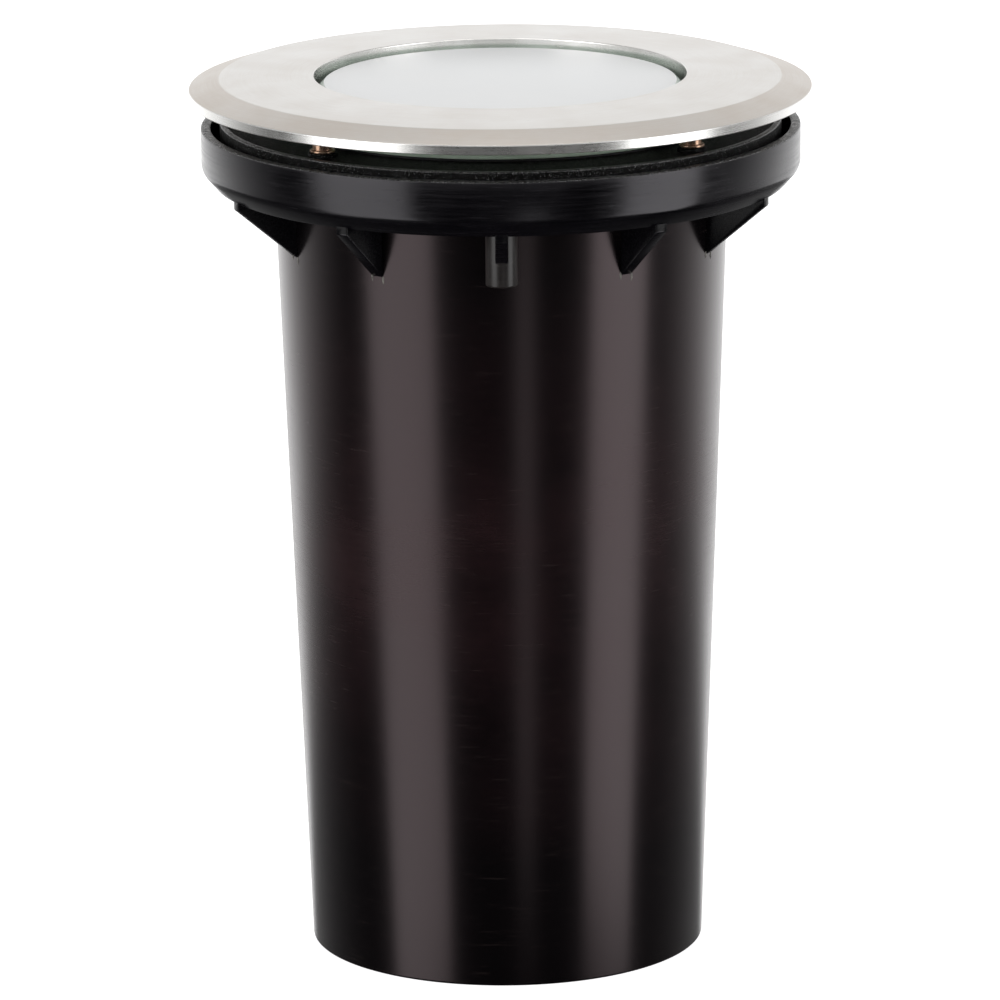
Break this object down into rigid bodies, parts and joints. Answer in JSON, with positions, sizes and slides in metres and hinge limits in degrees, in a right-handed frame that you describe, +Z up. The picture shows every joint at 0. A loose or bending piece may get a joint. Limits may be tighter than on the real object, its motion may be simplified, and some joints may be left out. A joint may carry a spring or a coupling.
{
  "type": "in ground well light",
  "caption": "Round recessed ground light: black tapered sleeve with a ribbed collar, stainless trim ring, stepped glass, and a drop-in sealed lamp unit with a tilting lamp.",
  "frame": {"origin": "centre of the sleeve's foot, on the surface that it stands on", "axes": "+Z up along the sleeve and lamp axis, -Y towards the viewer, +X to the right; the lamp tilts about X"},
  "size_m": [0.2, 0.2, 0.2865],
  "materials": {
    "canister_polymer": "satin brownish black polymer, faint striations",
    "collar_polymer": "satin bluish black moulded polymer, fine streaks",
    "brass": "turned brass",
    "bright_brass": "bright coppery brass",
    "black_rubber": "moulded rubber",
    "brushed_stainless": "circular brushed stainless steel",
    "stainless_fastener": "plain stainless steel",
    "lens_glass": "clear toughened glass, green at the edge",
    "silicone": "black silicone",
    "cast_frame": "black powder coat with fine texture",
    "opal_diffuser": "frosted opal",
    "white_polymer": "white moulded polymer",
    "housing_polymer": "satin black moulded polymer",
    "bare_aluminium": "turned aluminium",
    "white_nylon": "natural nylon",
    "lamp_white": "white powder coat on the heat sink",
    "lamp_lens": "frosted lamp lens",
    "board_white": "white solder mask",
    "phosphor": "yellow phosphor",
    "nickel_brass": "nickel plated screw cap",
    "black_plastic": "black insulator",
    "ceramic": "glazed ceramic",
    "lead_sleeve": "silicone sleeved lead",
    "gland_nylon": "black nylon"
  },
  "bodies": {
    "sleeve": {"sleeve_canister": "canister_polymer", "sleeve_collar": "collar_polymer", "boss_inserts": "brass", "cable_grommet": "black_rubber", "sleeve_gasket": "black_rubber"},
    "lamp_unit": {"trim_ring": "brushed_stainless", "ring_spacers": "bright_brass", "ring_screws": "stainless_fastener", "lens_glass": "lens_glass", "upper_gasket": "silicone", "lower_gasket": "silicone", "lens_frame": "cast_frame", "diffuser": "opal_diffuser", "diffuser_retainer": "white_polymer", "lamp_housing": "housing_polymer", "housing_seal": "silicone", "housing_screws": "stainless_fastener", "gimbal_ring": "bare_aluminium", "gimbal_screws": "stainless_fastener", "pivot_pins": "stainless_fastener", "friction_washers": "white_nylon", "lamp_leads": "lead_sleeve", "terminal_block": "white_nylon", "terminal_screws": "brass", "gland_body": "gland_nylon", "gland_washer": "black_rubber", "gland_locknut": "gland_nylon", "gland_seal": "black_rubber", "gland_nut": "gland_nylon"},
    "cradle": {"lamp_cradle": "bare_aluminium", "snap_ring": "stainless_fastener", "lamp_body": "lamp_white", "lamp_lens": "lamp_lens", "led_board": "board_white", "led_chips": "phosphor", "lamp_cap": "nickel_brass", "cap_insulator": "black_plastic", "cap_contact": "brass", "lampholder": "ceramic", "holder_shell": "brass", "holder_contact": "brass"}
  },
  "joints": [
    {"name": "lift_out", "type": "slide", "parent": "sleeve", "child": "lamp_unit", "axis": [0, 0, 1], "range_m": [0, 0.26]},
    {"name": "lamp_tilt", "type": "hinge", "parent": "lamp_unit", "child": "cradle", "pos_m": [0, 0, 0.234], "axis": [1, 0, 0], "range_deg": [-15, 15], "deforming": ["lamp_leads"]}
  ]
}
